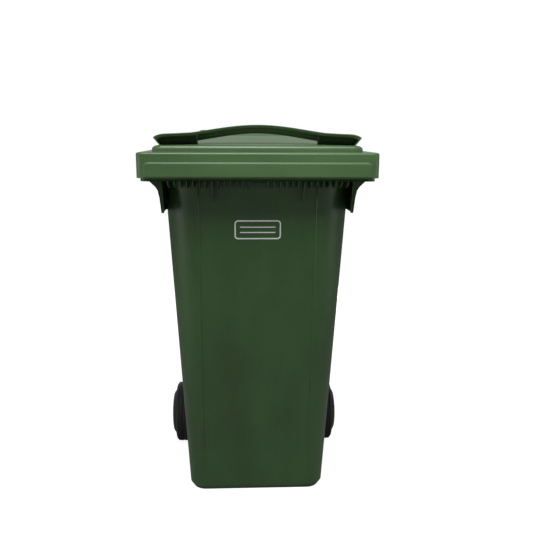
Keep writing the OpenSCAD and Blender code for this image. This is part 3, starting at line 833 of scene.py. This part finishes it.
def make_grip_walls(bm):
    """The back walls of the two pockets, their slanting end walls and the jambs of the opening."""
    thick, steps = 3.5 * mm, 6
    y_back = grip_y0 + grip_depth - thick
    low = deck_z - 3 * mm
    outer = tip_half - 16 * mm
    roof = grip_end + arch(finger_half)
    end_top = grip_end - 1.5 * mm + arch(tip_half)
    x_top = tip_half - 0.6 * mm
    x_low = x_top - tip_lean * (end_top - low)
    stations = [finger_half + (outer - finger_half) * k / steps for k in range(steps + 1)]
    back = [(finger_half, y_back, low)]
    back += [(x, y_back, grip_end - 15 * mm + arch(x)) for x in stations]
    back += [(outer - 4 * mm, y_back, low)]
    slant = [(x_low, grip_y0 + 2 * mm, low), (x_top, grip_y0 + 0.4 * mm, end_top),
             (x_top, y_back, end_top - 5 * mm), (x_low, y_back + thick, low)]
    jamb = [(finger_half, grip_y0 + 26 * mm, low), (finger_half, grip_y0 + 22 * mm, roof - 4 * mm),
            (finger_half, y_back, roof - 12 * mm), (finger_half, y_back + thick, low)]
    for sign in (-1, 1):
        for outline, across, soft, segments in ((back, (0, thick, 0), 0.8 * mm, 2),
                                                (slant, (-sign * thick, 0, 0), 1 * mm, 2),
                                                (jamb, (sign * thick, 0, 0), 1.5 * mm, 3)):
            plate(bm, [(sign * x, y, z) for x, y, z in outline], across, soft, segments)


# %% [markdown]
# Two lugs reach back from the lid to the pins. Each is a strong bar with a round eye.

# %% Hinge lugs
def make_lugs(bm):
    width, eye, hole, gap = 18 * mm, 15 * mm, 7.1 * mm, 0.5 * mm
    x0 = bar_half + arm_thick + gap
    x1 = x0 + width
    y, z = hinge_axis.y, hinge_axis.z
    top = z + eye - 1 * mm
    outline = [(lid_rear - 40 * mm, lid_top - lid_wall), (y - 8 * mm, z - 6 * mm), (y - 7.2 * mm, z),
               (y - 5 * mm, z + 8 * mm), (y, top), (lid_rear - 6 * mm, top),
               (lid_rear - 40 * mm, lid_top + 2 * mm)]
    for sign in (-1, 1):
        side_plate(bm, sign * (x0 + width / 2), width, outline, soft=1.5 * mm, segments=3)
        turned(bm, [(x0, hole), (x0, eye), (x1, eye), (x1, hole)], hinge_axis, 40, 1.2 * mm, sign=sign)


bm = bmesh.new()
make_lid_shell(bm)
lift_deck(bm)
cut_back_skirt(bm)
soften(bm, 2.2 * mm, 3, 32)
add_features(bm, make_lid_panel, make_plateau, make_visor, make_grip_walls, make_lugs)
make_piece(bm, "lid_moulding", "lid_panel", lid_hdpe_painted_lighter, "lid")

# %% [markdown]
# ## Wheels
# A wheel is a solid rubber tyre pressed on a moulded centre, with a domed cap snapped in outside. All
# three are turned shapes, so each is half an outline spun round the axle.

# %% Tyres and hub caps
SIDES = {"left": -1, "right": 1}


def make_tyre(side):
    radius, seat = tyre_high.z - axle_axis.z, 72.03 * mm
    middle, half = (tyre_low.x + tyre_high.x) / 2, (tyre_high.x - tyre_low.x) / 2
    groove, bottom, mouth = 1.2 * mm, 1.2 * mm, 2.2 * mm
    shoulder = [(-half, seat), (-half, radius - 13 * mm), (-half + 1.2 * mm, radius - 8 * mm),
                (-half + 6.5 * mm, radius - 1.2 * mm)]
    profile = list(shoulder)
    for x in (-13 * mm, 0.0, 13 * mm):
        profile += [(x - mouth, radius), (x - bottom, radius - groove),
                    (x + bottom, radius - groove), (x + mouth, radius)]
    profile += [(-x, r) for x, r in reversed(shoulder)]
    bm = bmesh.new()
    turned(bm, [(middle + x, r) for x, r in profile], axle_axis, 96, 0.7 * mm, 2, SIDES[side])
    make_piece(bm, f"tyre_{side}_pressed", f"wheel_{side}", tyre_rubber, f"tyre_{side}")


def make_hub_cap(side):
    face, lip = cap_high.x, tyre_high.x + 0.4 * mm
    rim_r = cap_high.z - axle_axis.z
    inside = rim_r - 2.5 * mm
    outer = [(face, 0), (face, 16 * mm), (face - 1.2 * mm, 18 * mm), (face - 1.2 * mm, 24 * mm),
             (face - 0.2 * mm, 26 * mm), (face - 0.2 * mm, 55 * mm), (face - 1.4 * mm, 62 * mm),
             (face - 5 * mm, rim_r - 4 * mm), (face - 9 * mm, rim_r), (lip, rim_r)]
    inner = [(lip, inside), (face - 9 * mm, inside), (face - 6.5 * mm, rim_r - 7 * mm),
             (face - 4 * mm, 58 * mm), (face - 4 * mm, 0)]
    snap_in, snap_out, snap_r0, snap_r1 = tyre_high.x - 9 * mm, face - 5 * mm, 63 * mm, 65.2 * mm
    snap = [(snap_in, snap_r0), (snap_in, snap_r1), (snap_out, snap_r1), (snap_out, snap_r0)]
    bm = bmesh.new()
    turned(bm, outer + inner, axle_axis, 96, 0.9 * mm, sign=SIDES[side])
    turned(bm, snap, axle_axis, 64, 0.4 * mm, 1, SIDES[side])
    make_piece(bm, f"hub_cap_{side}_domed", f"wheel_{side}", wheel_pp, f"hub_cap_{side}")


for side in SIDES:
    make_tyre(side)
    make_hub_cap(side)

# %% [markdown]
# The wheel's centre, seen from behind the tyre, is a hub, a thin web and eight ribs, with a ring that
# the tyre sits on. The hub has a slot for the latch, which is made here as a gap between two tubes.

# %% Wheel centres
def make_wheel_centre(side):
    sign = SIDES[side]
    low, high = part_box("wheel_centre_right")
    seat, hub, bore = 72 * mm, 26 * mm, 10.08 * mm
    ring_in, ring_out, ring_low = tyre_low.x + 4 * mm, tyre_high.x - 4 * mm, seat - 6 * mm
    web, web_out = tyre_high.x - 26 * mm, tyre_high.x - 21 * mm
    disc_low, disc_high = hub - 2 * mm, seat - 5 * mm
    slot_low, slot_high = tyre_high.x - 20 * mm, tyre_high.x - 12 * mm
    ring = [(ring_in, ring_low), (ring_in, seat), (ring_out, seat), (ring_out, ring_low)]
    disc = [(web, disc_low), (web, disc_high), (web_out, disc_high), (web_out, disc_low)]
    bm = bmesh.new()
    turned(bm, ring, axle_axis, 96, 1 * mm, sign=sign)
    turned(bm, disc, axle_axis, 64, 0, sign=sign)
    for x0, x1 in ((low.x, slot_low), (slot_high, high.x)):
        turned(bm, [(x0, bore), (x0, hub), (x1, hub), (x1, bore)], axle_axis, 64, sign=sign)
    ribs, rib_size = 8, (32 * mm, 4 * mm, disc_high - disc_low)
    for k in range(ribs):
        part = bmesh.new()
        bmesh.ops.create_cube(part, size=1)
        bmesh.ops.scale(part, verts=part.verts, vec=rib_size)
        soften(part, 0.9 * mm, 2)
        place = (sign * (web + 2 * mm), 0, (disc_low + disc_high) / 2)
        bmesh.ops.translate(part, verts=part.verts, vec=place)
        turn = Matrix.Rotation(math.tau * (k + 0.5) / ribs, 3, "X")
        bmesh.ops.rotate(part, verts=part.verts, cent=(0, 0, 0), matrix=turn)
        bmesh.ops.translate(part, verts=part.verts, vec=axle_axis)
        add_part(bm, part)
    make_piece(bm, f"wheel_centre_{side}_ribbed", f"wheel_{side}", wheel_pp,
               f"wheel_centre_{side}")


for side in SIDES:
    make_wheel_centre(side)

# %% [markdown]
# ## Axle and pin caps
# The axle is one bar with chamfered ends and a groove for each latch. The pin caps are shallow domes.

# %% Axle and caps
def make_axle():
    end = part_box("axle")[1].x
    radius, groove, chamfer = 10 * mm, 7.5 * mm, 1.5 * mm
    groove_out, groove_in = end - 5.5 * mm, end - 12.5 * mm
    half = [(end, 0), (end, radius - chamfer), (end - chamfer, radius), (groove_out, radius),
            (groove_out, groove), (groove_in, groove), (groove_in, radius)]
    bm = bmesh.new()
    turned(bm, half + [(-x, r) for x, r in reversed(half)], axle_axis, 64, 0.3 * mm, 2)
    make_piece(bm, "axle_drawn_bar", "bin", zinc_steel, "axle")


def make_pin_cap(side):
    radius, skin = pin_cap_high.z - hinge_axis.z, 2.4 * mm
    outer, inner = pin_cap_high.x, pin_cap_low.x
    floor = inner + 3.1 * mm
    profile = [(outer, 0), (outer - 0.3 * mm, radius * 0.55), (outer - 1.4 * mm, radius - 1.6 * mm),
               (outer - 2.6 * mm, radius), (inner, radius), (inner, radius - skin),
               (floor, radius - skin), (floor, 0)]
    bm = bmesh.new()
    turned(bm, profile, hinge_axis, 48, 0.4 * mm, sign=SIDES[side])
    make_piece(bm, f"pin_cap_{side}_domed", "bin", body_hdpe, f"pin_cap_{side}")


make_axle()
for side in SIDES:
    make_pin_cap(side)

# %% [markdown]
# ## The mark on the front
# A plain address field, as many bins have: a frame with rounded corners and two ruled lines to write
# on. The frame is a rounded rectangle with a smaller one inside it, bridged and given a thickness.

# %% Address field
def make_label():
    low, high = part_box("front_label")
    half_w, middle_z = (high.x - low.x) / 2, (low.z + high.z) / 2
    rake = math.atan((base_front - top_front) / rim_top)
    half_h = (high.z - low.z) / 2 / math.cos(rake)
    line, thick, corner, sunk = 3.2 * mm, 0.35 * mm, 9 * mm, 0.05 * mm
    rule_half, rule_end = 1.3 * mm, half_w - 14 * mm
    bm = bmesh.new()
    for inset in (0, line):
        part = bmesh.new()
        radius = corner - inset
        start_ring(part, (half_w - inset, -half_h + inset, half_h - inset, radius, radius, 0))
        add_part(bm, part)
    bmesh.ops.bridge_loops(bm, edges=bm.edges[:])
    for y in (-7 * mm, 7 * mm):
        corners = [(-rule_end, y - rule_half, 0), (rule_end, y - rule_half, 0),
                   (rule_end, y + rule_half, 0), (-rule_end, y + rule_half, 0)]
        bm.faces.new([bm.verts.new(point) for point in corners])
    push_out(bm, bm.faces[:], (0, 0, thick))
    upright = Matrix.Rotation(math.pi / 2 + rake, 3, "X")
    bmesh.ops.rotate(bm, verts=bm.verts, cent=(0, 0, 0), matrix=upright)
    place = (0, front_at(middle_z) + panel_depth - sunk, middle_z)
    bmesh.ops.translate(bm, verts=bm.verts, vec=place)
    face_outwards(bm)
    make_piece(bm, "address_field_foil", "bin", white_foil, "front_label")


make_label()

# %% [markdown]
# ## Fittings that keep their CAD shape
# The pins, bushes, washers, latches and the chip's plug are already the right shape, and mostly hidden.
# They keep their CAD mesh and only take a finish.

# %% Finish the CAD fittings
finishes = {"hinge_pin": fitting_pp, "axle_bush": fitting_pp, "axle_washer": zinc_steel,
            "wheel_latch": latch_acetal}
fittings = {f"{name}_{side}": finish for name, finish in finishes.items() for side in SIDES}
fittings["chip_plug"] = fitting_pp
for name, finish in fittings.items():
    slots = frame["nodes"][name].data.materials
    slots.clear()
    slots.append(finish)
print("finished", len(fittings), "CAD fittings")

# %% [markdown]
# ## Studio
# A pale floor and a white backdrop, as in a catalogue. A key light hangs high in front, a weak fill
# stands low on each side and one low at the back. The surround is bright behind the bin and pale
# overhead, and nearly dark on the camera's side. So every top surface shines, as it mirrors the
# surround, and the raked front stays deep green.

# %% Floor
def studio_floor_paint(glow=0.93):
    """Grey to the light that falls on it, but white to the camera, as an overexposed floor is."""
    material, tree, place = new_material("matt white studio paint")
    specks = add_node(tree, "TexNoise", values={"Scale": 30.0}, links={"Vector": place})
    colour = add_node(tree, "ValToRGB", links={"Fac": specks["Fac"]},
                      stops=[(0.3, "#9C9C9C"), (0.7, "#A2A2A2")])
    seen = add_node(tree, "LightPath")["Is Camera Ray"]
    strength = add_node(tree, "Math", {"operation": "MULTIPLY"}, {0: seen}, {1: glow})
    close_material(tree, {"Roughness": 0.9, "Specular IOR Level": 0.1,
                          "Emission Color": linear("#FFFFFF")},
                   {"Base Color": colour["Color"], "Emission Strength": strength["Value"]})
    return material


bm = bmesh.new()
bmesh.ops.create_grid(bm, x_segments=8, y_segments=8, size=30)
studio_floor = new_object(bm, "studio_floor", studio_floor_paint())


# %% Lights
def soft_light(name, place, aim, size, watts):
    data = bpy.data.lights.new(name, "AREA")
    data.shape = "SQUARE"
    data.size = size
    data.energy = watts
    light = bpy.data.objects.new(name, data)
    light.location = place
    light.rotation_mode = "QUATERNION"
    light.rotation_quaternion = (Vector(aim) - Vector(place)).to_track_quat("-Z", "Y")
    bpy.context.scene.collection.objects.link(light)


soft_light("key", (-0.1, -1.5, 2.9), (0, -0.3, 0.6), 0.9, 67)
soft_light("left_fill", (-2.6, -1.1, 0.7), (0, 0, 0.3), 1.2, 13)
soft_light("right_fill", (2.6, -1.1, 0.7), (0, 0, 0.3), 1.2, 10)
soft_light("rear_fill", (0.5, 2.6, 0.45), (0, 0.2, 0.5), 0.8, 22)

# %% [markdown]
# The camera sees the world as plain white. Everything else is lit by a soft gradient, which takes the
# brighter of what comes from behind the bin and what comes from overhead.

# %% World
world = bpy.data.worlds.new("white surround")
bpy.context.scene.world = world
world.use_nodes = True
tree = world.node_tree
tree.nodes.clear()
direction = add_node(tree, "TexCoord")["Generated"]
parts = add_node(tree, "SeparateXYZ", links={"Vector": direction})
behind = add_node(tree, "MapRange", {"interpolation_type": "SMOOTHSTEP"}, {"Value": parts["Y"]},
                  {"From Min": -0.25, "From Max": 0.75, "To Min": 0.01, "To Max": 0.55})
above = add_node(tree, "MapRange", {"interpolation_type": "SMOOTHSTEP"}, {"Value": parts["Z"]},
                 {"From Min": 0.25, "From Max": 0.95, "To Min": 0.0, "To Max": 0.2})
glow = add_node(tree, "Math", {"operation": "MAXIMUM"},
                {0: behind["Result"], 1: above["Result"]})
ambient = add_node(tree, "Background", links={"Strength": glow["Value"]},
                   values={"Color": linear("#FFFFFF")})
backdrop = add_node(tree, "Background", values={"Color": linear("#FFFFFF"), "Strength": 1.0})
seen = add_node(tree, "LightPath")["Is Camera Ray"]
mixed = add_node(tree, "MixShader",
                 links={"Fac": seen, 1: ambient["Background"], 2: backdrop["Background"]})
add_node(tree, "OutputWorld", links={"Surface": mixed["Shader"]})
bpy.context.scene.view_settings.view_transform = "Standard"

# %% [markdown]
# ## Camera
# The camera stands about 1.6 m in front of the lid and level with its grip, 45 mm left of the middle,
# and looks down a little. A small rise of the lens keeps the bin in the frame.

# %% Camera
camera_data = bpy.data.cameras.new("catalogue_camera")
camera_data.lens = 44.73
camera_data.sensor_width = 36
camera_data.shift_x = -0.006
camera_data.shift_y = 0.017
camera = bpy.data.objects.new("catalogue_camera", camera_data)
pan, tilt, roll = math.radians(2.6), math.radians(12.03), math.radians(0.24)
camera.location = (-45 * mm, front - 1581.7 * mm, 1037.2 * mm)
camera.rotation_mode = "QUATERNION"
aim = Matrix.Rotation(-pan, 3, "Z") @ Matrix.Rotation(math.pi / 2 - tilt, 3, "X")
camera.rotation_quaternion = (aim @ Matrix.Rotation(roll, 3, "Z")).to_quaternion()
bpy.context.scene.collection.objects.link(camera)
bpy.context.scene.camera = camera
